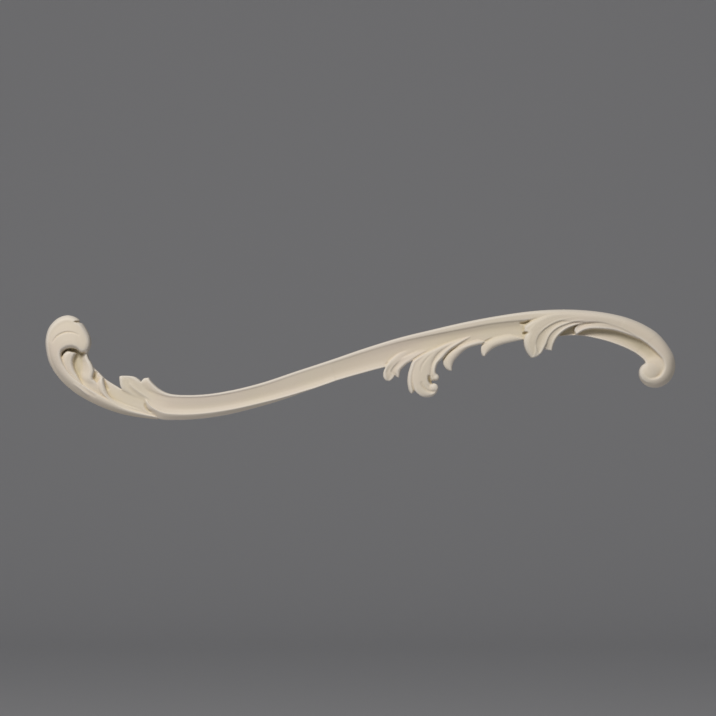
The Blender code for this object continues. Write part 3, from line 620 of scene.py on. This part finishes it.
@dataclass(frozen=True)
class FanAndScroll(Carving):
    """The fan of lobes where the stem meets the scroll, the channel under its band, and its eye."""

    bosses: tuple[Boss, ...] = (
        Boss("eye_floor", 655, 370, 12, 9.6, 9.8),
        Boss("eye", 649.5, 372.4, 10.4, 10.6, 14, Fall.CUSHION, 3.0),
    )

    def strands(self) -> list[Strand]:
        """The strands, from the lowest to the highest."""
        tongue = Strand("tongue", TONGUE, (
            (523.8, 325.4, 523.8, 330.8, 13), (526.6, 323.2, 527, 331.6, 14.8),
            (530.6, 320.4, 531.5, 331, 15.8), (536.5, 317.4, 538, 328.5, 16.2),
            (546, 313.5, 549, 322, 16.2), (560, 310.8, 562.5, 318, 15.4)))
        fan_left = Strand("fan_left", LOBE, (
            (530.8, 357.4, 534.5, 356.7, 12), (527.8, 353.8, 538.2, 354.3, 13.3),
            (525.4, 349.5, 537, 350.2, 14.3), (523.8, 344.5, 535.1, 345, 15.2),
            (523.4, 340, 535.6, 340.5, 15.8), (524.1, 335.5, 537.2, 336.3, 16),
            (526.8, 331.5, 539.9, 332.5, 16.1, 0.6), (530.5, 327, 543.3, 329.3, 16.2, 1),
            (535.5, 322.5, 547, 326.5, 16.2, 1), (542, 318.5, 551.5, 323.8, 16.1, 1),
            (550, 315.5, 557, 321.4, 16, 1), (560, 313.5, 564, 319.4, 15.9, 1),
            (574, 313.5, 575, 318, 15.4, 1)),
            LOBE_ROOT)
        fan_right = Strand("fan_right", FLUTE, (
            (531.7, 357.4, 534.7, 356.6, 12, 1), (533, 355.3, 538.8, 354.4, 13.3, 1),
            (534.1, 351, 541.7, 351.3, 14.3, 1), (534.5, 346.5, 543.8, 347.1, 14.9, 0.8),
            (535.2, 342, 545.6, 343.3, 15.2, 0.3), (536.2, 337.5, 547, 338.7, 15.5),
            (538.4, 333.3, 549, 334.7, 15.8), (541.3, 329.5, 552, 331.1, 16),
            (545, 326, 555.8, 328.1, 16.1), (549.6, 322.9, 560.3, 325.6, 16.1),
            (555, 320.2, 566, 323.5, 16), (562, 318.4, 573, 321.6, 15.8), (573, 316.5, 585, 319.6, 15.2)),
            FLUTE_TIP, 2.4)
        fan_tooth = Strand("fan_tooth", TOOTH, (
            (544.8, 349, 551.8, 350.2, 12), (544.3, 346, 552.4, 346.3, 13.2),
            (544.7, 342.2, 553.8, 342.3, 14.3), (545.9, 338.5, 555.3, 339, 15),
            (547.7, 334.8, 557.6, 335.8, 15.4), (550.2, 331.4, 561, 332.6, 15.6),
            (553.9, 328, 565, 329.6, 15.7), (558.5, 325.2, 569.2, 327.2, 15.7),
            (564.3, 322.9, 574, 325.4, 15.6), (572.3, 320.6, 580, 323.7, 15.2),
            (583, 319.2, 590, 322.5, 14.6)),
            blend=2.2)
        channel = Strand("channel", CHANNEL, (
            (552, 324, 554, 335.3, 11), (560, 323.5, 561, 335.4, 11), (570, 323, 571, 334.9, 11.2),
            (584, 323, 584, 335.4, 11.6), (602, 324.5, 597, 338, 11.8), (620, 329, 611, 341.8, 11.6, 0.3),
            (636, 334, 626, 347.6, 11.2, 0.75), (648, 342, 637, 353.6, 11, 1),
            (657, 350, 644, 359.5, 11.4, 1)),
            CHANNEL_COVE)
        landing = Strand("channel_end", CHANNEL_COVE, (
            (648, 342, 637, 353.6, 11), (657, 350, 644, 359.5, 12, 0.45),
            (664, 358, 645.5, 363.8, 13.6, 0.9), (666.5, 366, 645.5, 369, 14, 1),
            (664, 374, 648, 375, 12.5, 1)),
            CHANNEL_END)
        scoop = Strand("scoop", SCOOP, (
            (573.7, 330.2, 575.7, 334.5, 12.3, 1), (574.5, 327, 579.3, 332.2, 13.3, 1),
            (578.5, 323.8, 584.3, 329.8, 14, 1), (586.5, 321.4, 592, 328.4, 14.8, 0.8),
            (598, 321.2, 603, 328.8, 15.5, 0.3), (609, 323, 613, 330, 15.8),
            (620, 326.6, 622.5, 332.7, 15.9), (630, 332, 631.5, 336, 15.8), (637, 337, 638.5, 339.3, 15.4)),
            SCOOP_TIP)
        return [tongue, fan_left, fan_right, fan_tooth, channel, landing, scoop]

    def tooling(self) -> list[Tooling]:
        """The pockets behind the tongue, the groove beside it and the scoop's groove."""
        return [
            Tooling(((519, 322.3), (523, 322.6), (526.3, 321.6), (529.3, 320)), 1.0, 4.0),
            Tooling(((522, 332.8), (524.5, 332.8), (527.8, 332.1)), 0.8, 3.6),
            Tooling(((529, 320.3), (533, 318.8), (537, 317.8)), 0.6, 0.6),
            Tooling(((582, 324.4), (588, 323), (595, 322.6), (602, 322.9), (609, 324.4)), 0.9, 0.45),
        ]


@dataclass(frozen=True)
class PaintedLightReach:
    """How far around hollows and crests are looked for, and how deep counts in full, in sheet units, for
    the painted shade and highlights.
    """

    broad: float = 5.0
    fine: float = 1.6
    basin: float = 8.0
    broad_full: float = 3.8
    fine_full: float = 2.3
    crest_full: float = 0.9
    basin_full: float = 3.0
    front_from: float = 1.0


@dataclass
class Casting:
    """The whole applique, cast in one: how finely it is made, and how its edges are eased."""

    step: float = 0.5
    softening: float = 0.34
    edge_radius: float = 0.9
    wall_rows: int = 2
    crest_angle: float = 50.0
    covered: float = 0.5
    closest_crossing: float = 0.12
    near_edge: float = 0.999

    def relief(self) -> Relief:
        """The carved surface with every strand, boss and tool mark."""
        relief = Relief(self.step)
        for part in (FlutedStem(), CurledTail(), HangingLeaves(), FanAndScroll()):
            part.carve(relief)
        relief.soften(self.softening)
        return relief

    def outline_cells(
        self, relief: Relief
    ) -> tuple[list[tuple[float, float]], list[list[int]], list[tuple[int, int]]]:
        """The sheet's covered cells, cut along the outline.

        Args:
            relief: the carved surface.

        Returns:
            The points on the sheet, the cells as rings of points, and the outline's edges.
        """
        inside = relief.cover >= self.covered
        number = np.full(inside.shape, -1)
        number[inside] = np.arange(inside.sum())
        rows, columns = np.nonzero(inside)
        points = list(zip(relief.x[0][columns].tolist(), relief.y[:, 0][rows].tolist()))
        crossings: dict[tuple[int, int, int, int], int] = {}
        cells, edges = [], []
        count = inside[1:, 1:].astype(int) + inside[1:, :-1] + inside[:-1, 1:] + inside[:-1, :-1]
        for i, j in np.argwhere(count == 4):
            ring = number[i, j], number[i + 1, j], number[i + 1, j + 1], number[i, j + 1]
            cells.append([int(corner) for corner in ring])
        for i, j in np.argwhere((count > 0) & (count < 4)):
            ring = self._cut_cell(relief, inside, number, crossings, points, int(i), int(j))
            cells.append(ring)
            for a, b in zip(ring, ring[1:] + ring[:1]):
                if min(a, b) >= len(rows):
                    edges.append((a, b))
        return points, cells, edges

    def _cut_cell(
        self,
        relief: Relief,
        inside: np.ndarray,
        number: np.ndarray,
        crossings: dict[tuple[int, int, int, int], int],
        points: list[tuple[float, float]],
        i: int,
        j: int,
    ) -> list[int]:
        """One cell that the outline crosses, as the ring of its covered part."""
        corners = [(i, j), (i + 1, j), (i + 1, j + 1), (i, j + 1)]
        ring = []
        for here, there in zip(corners, corners[1:] + corners[:1]):
            if inside[here]:
                ring.append(int(number[here]))
            if inside[here] == inside[there]:
                continue
            key = min(here, there) + max(here, there)
            if key not in crossings:
                low, high = relief.cover[key[0], key[1]], relief.cover[key[2], key[3]]
                share = (self.covered - low) / (high - low)
                share = min(max(share, self.closest_crossing), 1 - self.closest_crossing)
                x = relief.x[0][key[1]] * (1 - share) + relief.x[0][key[3]] * share
                y = relief.y[key[0], 0] * (1 - share) + relief.y[key[2], 0] * share
                crossings[key] = len(points)
                points.append((float(x), float(y)))
            ring.append(crossings[key])
        return ring

    def eased_heights(self, relief: Relief, points: np.ndarray, rim: set[int]) -> np.ndarray:
        """Heights at the points, rounded off towards the outline.

        Args:
            relief: the carved surface.
            points: places on the sheet.
            rim: which of them lie on the outline.

        Returns:
            One height for each point.
        """
        heights = relief.read(relief.height, points[:, 0], points[:, 1])
        cover = relief.read(relief.cover, points[:, 0], points[:, 1])
        tree = kdtree.KDTree(len(rim))
        for index in rim:
            tree.insert((points[index, 0], points[index, 1], 0), index)
        tree.balance()
        radius = self.edge_radius
        for index in np.flatnonzero(cover < self.near_edge):
            far = tree.find((points[index, 0], points[index, 1], 0))[2]
            if far < radius:
                heights[index] -= radius - math.sqrt(radius**2 - (radius - far) ** 2)
        return heights

    def mesh(self) -> tuple[bpy.types.Mesh, Relief]:
        """The casting's closed mesh: carved front, eased walls and a flat back."""
        relief = self.relief()
        sheet, cells, edges = self.outline_cells(relief)
        points = np.array(sheet)
        rim = sorted({index for edge in edges for index in edge})
        heights = self.eased_heights(relief, points, set(rim))
        place = {index: row for row, index in enumerate(rim)}
        vertices = [np.column_stack([points, heights])]
        for row in range(1, self.wall_rows + 1):
            ring = np.column_stack([points[rim], heights[rim] * (1 - row / self.wall_rows)])
            vertices.append(ring)
        everything = np.vstack(vertices)
        faces = list(cells)
        starts = [0] + [len(points) + row * len(rim) for row in range(self.wall_rows)]
        for row in range(self.wall_rows):
            for a, b in edges:
                top_a = a if row == 0 else starts[row] + place[a]
                top_b = b if row == 0 else starts[row] + place[b]
                faces.append([top_b, top_a, starts[row + 1] + place[a], starts[row + 1] + place[b]])
        faces += self._back(everything, edges, starts[-1], place)
        located = np.column_stack([
            (everything[:, 0] - SHEET_ORIGIN[0]) * UNIT,
            -everything[:, 2] * LIFT,
            (SHEET_ORIGIN[1] - everything[:, 1]) * UNIT,
        ])
        mesh = bpy.data.meshes.new("scroll_applique_carved")
        mesh.from_pydata(located.tolist(), [], faces)
        mesh.validate()
        mesh.update()
        return mesh, relief

    def _back(
        self, vertices: np.ndarray, edges: list[tuple[int, int]], start: int, place: dict[int, int]
    ) -> list[list[int]]:
        """The flat back, filled inside each loop of the outline."""
        follow = {a: b for a, b in edges}
        faces = []
        while follow:
            first = next(iter(follow))
            loop, here = [], first
            while here in follow:
                loop.append(start + place[here])
                here = follow.pop(here)
            flat = [Vector((vertices[index, 0], vertices[index, 1], 0)) for index in loop]
            LOG.info("outline loop of %d points", len(loop))
            for a, b, c in tessellate_polygon([flat]):
                turn = (flat[b] - flat[a]).cross(flat[c] - flat[a]).z
                ring = [loop[a], loop[b], loop[c]]
                faces.append(ring if turn > 0 else ring[::-1])
        return faces

    def build(self, finish: "CreamResin") -> bpy.types.Object:
        """Makes the casting, dresses it and says what it stands for.

        Args:
            finish: the resin that it is cast in.

        Returns:
            The finished piece.
        """
        mesh, relief = self.mesh()
        self._mark_painted_light(mesh, relief)
        mesh.polygons.foreach_set("use_smooth", [True] * len(mesh.polygons))
        mesh.set_sharp_from_angle(angle=math.radians(self.crest_angle))
        piece = bpy.data.objects.new("scroll_applique_carving", mesh)
        bpy.context.scene.collection.objects.link(piece)
        mesh.materials.append(finish.material())
        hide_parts(NODE_NAME)
        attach(piece, BODY_NAME)
        mesh.calc_loop_triangles()
        LOG.info("%s: %d triangles", piece.name, len(mesh.loop_triangles))
        return piece

    def _mark_painted_light(self, mesh: bpy.types.Mesh, relief: Relief) -> None:
        """Notes on each point how deep it lies in a crease or a basin and how far it stands on a crest, for
        painted shade in creases and basins, painted warm bounce light in basins and a painted highlight on
        crests.
        """
        spots = np.empty(len(mesh.vertices) * 3)
        mesh.vertices.foreach_get("co", spots)
        spots = spots.reshape(-1, 3)
        x = spots[:, 0] / UNIT + SHEET_ORIGIN[0]
        y = SHEET_ORIGIN[1] - spots[:, 2] / UNIT
        painted_light_reach = PaintedLightReach()
        front = -spots[:, 1] / LIFT > painted_light_reach.front_from
        broad = relief.read(relief.hollows(painted_light_reach.broad), x, y)
        fine = relief.read(relief.hollows(painted_light_reach.fine), x, y)
        basin = relief.read(relief.hollows(painted_light_reach.basin), x, y)
        marks = {
            # hollow: drives the painted shade in creases and hollows
            "hollow": np.clip(broad / painted_light_reach.broad_full + fine / painted_light_reach.fine_full, 0, 1) * front,
            # crest: drives the painted highlight on crests, and lower roughness there
            "crest": np.clip(-fine / painted_light_reach.crest_full, 0, 1) * front,
            # basin: drives painted warm bounce light in low basins and painted shade in the deepest
            "basin": np.clip(basin / painted_light_reach.basin_full, 0, 1) * front,
        }
        for name, values in marks.items():
            attribute = mesh.attributes.new(name, "FLOAT", "POINT")
            attribute.data.foreach_set("value", values.astype(np.float32))


class Value:
    """A shader value that takes arithmetic: numbers through Math nodes, vectors through Vector Math."""

    def __init__(self, tree: "Shader", socket: bpy.types.NodeSocket) -> None:
        """Wraps one output socket of the tree."""
        self.tree = tree
        self.socket = socket

    def _join(self, operation: str, first: Any, second: Any) -> "Value":
        """One node for an expression on two values."""
        if self.socket.type == "VECTOR":
            return self.tree.node("ShaderNodeVectorMath", {"operation": operation}, {0: first, 1: second})
        return self.tree.node("ShaderNodeMath", {"operation": operation}, {0: first, 1: second})

    def __add__(self, other: Any) -> "Value":
        """Value plus other."""
        return self._join("ADD", self, other)

    __radd__ = __add__

    def __sub__(self, other: Any) -> "Value":
        """Value minus other."""
        return self._join("SUBTRACT", self, other)

    def __rsub__(self, other: Any) -> "Value":
        """Other minus value."""
        return self._join("SUBTRACT", other, self)

    def __mul__(self, other: Any) -> "Value":
        """Value times other."""
        return self._join("MULTIPLY", self, other)

    __rmul__ = __mul__


class Shader:
    """One material's node tree."""

    def __init__(self, name: str) -> None:
        """Makes the material with its shader and output."""
        self.material = bpy.data.materials.new(name)
        self.material.use_nodes = True
        self.tree = self.material.node_tree
        self.surface = self.tree.nodes["Principled BSDF"]

    def node(
        self,
        kind: str,
        settings: dict[str, Any] | None = None,
        inputs: dict[Any, Any] | None = None,
        output: Any = 0,
    ) -> Value:
        """Adds one node.

        Args:
            kind: the node's type.
            settings: what is set on the node first; "stops" are a ramp's places and colours.
            inputs: numbers, colours or values for its sockets, by name or number.
            output: which output is handed back.

        Returns:
            The chosen output as a value.
        """
        node = self.tree.nodes.new(kind)
        for key, setting in (settings or {}).items():
            if key == "stops":
                ramp = node.color_ramp
                while len(ramp.elements) < len(setting):
                    ramp.elements.new(0.5)
                for element, (place, colour) in zip(ramp.elements, setting):
                    element.position = place
                    element.color = colour
            else:
                setattr(node, key, setting)
        for key, value in (inputs or {}).items():
            self.feed(node.inputs[key], value)
        return Value(self, node.outputs[output])

    def feed(self, socket: bpy.types.NodeSocket, value: Any) -> None:
        """Links a value to a socket, or sets the number or colour on it."""
        if isinstance(value, Value):
            self.tree.links.new(value.socket, socket)
        else:
            socket.default_value = value

    def mix(self, share: Any, first: Any, second: Any, blend: str = "MIX") -> Value:
        """Two colours mixed by a share."""
        inputs = {0: share, 6: first, 7: second}
        settings = {"data_type": "RGBA", "blend_type": blend}
        return self.node("ShaderNodeMix", settings, inputs, 2)

    def between(self, value: Any, low: float, high: float) -> Value:
        """Where a value stands between two levels, from 0 to 1."""
        return self.node("ShaderNodeMapRange", {}, {"Value": value, 1: low, 2: high})

    def noise(self, scale: float, detail: float = 2.0, roughness: float = 0.5) -> Value:
        """Cloudy noise over the piece, in cells to the metre."""
        place = self.node("ShaderNodeTexCoord", output="Object")
        inputs = {"Vector": place, "Scale": scale, "Detail": detail, "Roughness": roughness}
        return self.node("ShaderNodeTexNoise", {}, inputs, "Fac")

    def attribute(self, name: str) -> Value:
        """A number noted on the mesh's points."""
        return self.node("ShaderNodeAttribute", {"attribute_name": name}, output="Fac")


@dataclass(frozen=True)
class CreamResin:
    """The matte cream resin with a fine cast grain, with painted warm shade in its hollows and a painted
    highlight on its crests.
    """

    cream: tuple[float, float, float, float] = (0.70, 0.615, 0.51, 1.0)
    rosy: tuple[float, float, float, float] = (0.705, 0.60, 0.515, 1.0)
    # Straw: the resin's own random drift, and painted warm bounce light in low basins.
    straw: tuple[float, float, float, float] = (0.71, 0.635, 0.455, 1.0)
    # Painted highlight for crests.
    pale: tuple[float, float, float, float] = (0.76, 0.71, 0.645, 1.0)
    # Painted shade for creases and hollows.
    shade: tuple[float, float, float, float] = (0.53, 0.42, 0.215, 1.0)
    # Painted shade for deep basins.
    painted_basin_shade: tuple[float, float, float, float] = (0.42, 0.375, 0.265, 1.0)
    rosy_share: float = 0.7
    drift_share: float = 0.3
    painted_basin_bounce_share: float = 0.22
    painted_highlight_share: float = 0.55
    shade_share: float = 0.5
    painted_basin_shade_share: float = 0.4
    deep_from: float = 0.55
    patch_scale: float = 38.0
    drift_scale: float = 14.0
    grain_scale: float = 1100.0
    uneven_scale: float = 150.0
    roughness: float = 0.56
    rougher_off_crests: float = 0.06
    rougher_in_patches: float = 0.05
    bump_strength: float = 0.35
    bump_depth: float = 0.0002
    specular: float = 0.35

    def colour(self, shader: Shader, crest: Value) -> Value:
        """The resin's colour: cream that drifts to rosy and straw, with painted warm bounce light in
        basins, a painted highlight on crests and painted shade in hollows and deep basins.
        """
        # basin feeds painted warm bounce light and painted shade in low basins
        basin = shader.attribute("basin")
        patches = shader.between(shader.noise(self.patch_scale), 0.38, 0.62)
        drift = shader.between(shader.noise(self.drift_scale, 1.0), 0.35, 0.65)
        # deep: the deepest basins, where the painted basin shade goes
        deep = shader.between(basin, self.deep_from, 1.0)
        base = shader.mix(patches * self.rosy_share, self.cream, self.rosy)
        # Straw from random drift, the resin's own tone, and painted warm bounce light in low basins.
        base = shader.mix(drift * self.drift_share + basin * self.painted_basin_bounce_share, base, self.straw)
        # Painted highlight: paler on crests.
        base = shader.mix(crest * self.painted_highlight_share, base, self.pale)
        # Painted shade: darker and warmer in creases and hollows.
        base = shader.mix(shader.attribute("hollow") * self.shade_share, base, self.shade)
        # Painted shade: darker in deep basins.
        return shader.mix(deep * self.painted_basin_shade_share, base, self.painted_basin_shade)

    def material(self) -> bpy.types.Material:
        """The resin as a material."""
        shader = Shader("cream_resin_cast")
        sockets = shader.surface.inputs
        # crest feeds the painted highlight on crests and the roughness
        crest = shader.attribute("crest")
        grain = shader.noise(self.grain_scale, 3.0, 0.6)
        uneven = shader.noise(self.uneven_scale, 2.0)
        shader.feed(sockets["Base Color"], self.colour(shader, crest))
        rough = self.roughness + self.rougher_off_crests * (1 - crest)
        rough = rough + self.rougher_in_patches * (uneven - 0.5)
        shader.feed(sockets["Roughness"], rough)
        settings = {"Strength": self.bump_strength, "Distance": self.bump_depth}
        height = grain * 0.5 + uneven * 0.5
        shader.feed(sockets["Normal"], shader.node("ShaderNodeBump", {}, {**settings, "Height": height}))
        sockets["Specular IOR Level"].default_value = self.specular
        return shader.material


@dataclass(frozen=True)
class PaleSurround:
    """The studio's plain pale paint."""

    colour: tuple[float, float, float, float] = (0.62, 0.615, 0.63, 1.0)
    roughness: float = 0.9

    def material(self) -> bpy.types.Material:
        """The paint as a material."""
        shader = Shader("pale_surround")
        shader.surface.inputs["Base Color"].default_value = self.colour
        shader.surface.inputs["Roughness"].default_value = self.roughness
        return shader.material


@dataclass(frozen=True)
class Lamp:
    """One soft square light that faces the carving: its place, side, power and tint."""

    name: str
    place: tuple[float, float, float]
    size: float
    power: float
    tint: tuple[float, float, float]

    def build(self) -> None:
        """Hangs the light and turns it to the carving."""
        lamp = bpy.data.lights.new(self.name, "AREA")
        lamp.size = self.size
        lamp.energy = self.power
        lamp.color = self.tint
        holder = bpy.data.objects.new(self.name, lamp)
        holder.location = self.place
        holder.rotation_euler = (-Vector(self.place)).to_track_quat("-Z", "Y").to_euler()
        bpy.context.scene.collection.objects.link(holder)


@dataclass(frozen=True)
class Studio:
    """The floor that sweeps up into a wall, the soft light and the camera."""

    key: Lamp = Lamp("key", (-0.55, -1.28, 1.08), 0.5, 24.5, (1.0, 0.985, 0.955))
    fill: Lamp = Lamp("fill", (1.1, -1.5, 0.1), 1.4, 0.9, (0.96, 0.98, 1.0))
    air: tuple[float, float, float, float] = (0.95, 0.97, 1.0, 1.0)
    air_strength: float = 0.15
    picture_pixels: float = 716.0
    view_centre: tuple[float, float] = (357.5, 357.5)
    lens: float = 150.0
    sensor: float = 36.0
    floor_height: float = -0.45
    wall_distance: float = 3.4
    sweep_radius: float = 1.0
    half_width: float = 6.0
    front_reach: float = 5.0
    wall_top: float = 4.0
    sweep_steps: int = 13

    def build(self) -> None:
        """Makes the whole studio."""
        self.surround()
        for lamp in (self.key, self.fill):
            lamp.build()
        world = bpy.data.worlds.new("studio_air")
        world.use_nodes = True
        air = world.node_tree.nodes["Background"].inputs
        air["Color"].default_value = self.air
        air["Strength"].default_value = self.air_strength
        bpy.context.scene.world = world
        bpy.context.scene.view_settings.view_transform = "Standard"
        self.camera()

    def surround(self) -> None:
        """The floor, swept up into the wall behind."""
        path = [(-self.front_reach, self.floor_height)]
        low = self.wall_distance - self.sweep_radius
        for turn in np.linspace(0, math.pi / 2, self.sweep_steps):
            path.append((
                low + self.sweep_radius * math.sin(turn),
                self.floor_height + self.sweep_radius * (1 - math.cos(turn)),
            ))
        path.append((self.wall_distance, self.wall_top))
        vertices = [(side * self.half_width, y, z) for y, z in path for side in (-1, 1)]
        faces = [(2 * i, 2 * i + 1, 2 * i + 3, 2 * i + 2) for i in range(len(path) - 1)]
        mesh = bpy.data.meshes.new("studio_surround")
        mesh.from_pydata(vertices, [], faces)
        mesh.polygons.foreach_set("use_smooth", [True] * len(faces))
        mesh.materials.append(PaleSurround().material())
        surround = bpy.data.objects.new("studio_surround", mesh)
        bpy.context.scene.collection.objects.link(surround)

    def camera(self) -> None:
        """The camera, square to the carving, framing it as the photograph does."""
        data = bpy.data.cameras.new("straight_on")
        data.lens = self.lens
        data.sensor_width = self.sensor
        holder = bpy.data.objects.new("straight_on", data)
        x = (self.view_centre[0] - SHEET_ORIGIN[0]) * UNIT
        z = (SHEET_ORIGIN[1] - self.view_centre[1]) * UNIT
        distance = self.picture_pixels * UNIT * self.lens / self.sensor + 0.5 * RELIEF
        holder.location = (x, -distance, z)
        holder.rotation_euler = (math.pi / 2, 0, 0)
        bpy.context.scene.collection.objects.link(holder)
        bpy.context.scene.camera = holder


def main() -> None:
    """Builds the casting and the studio."""
    logging.basicConfig(level=logging.INFO, format="%(name)s: %(message)s")
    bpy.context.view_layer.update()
    piece = Casting().build(CreamResin())
    LOG.info("built %s", piece.name)
    Studio().build()
    LOG.info("built the studio")


if __name__ == "__main__":
    main()
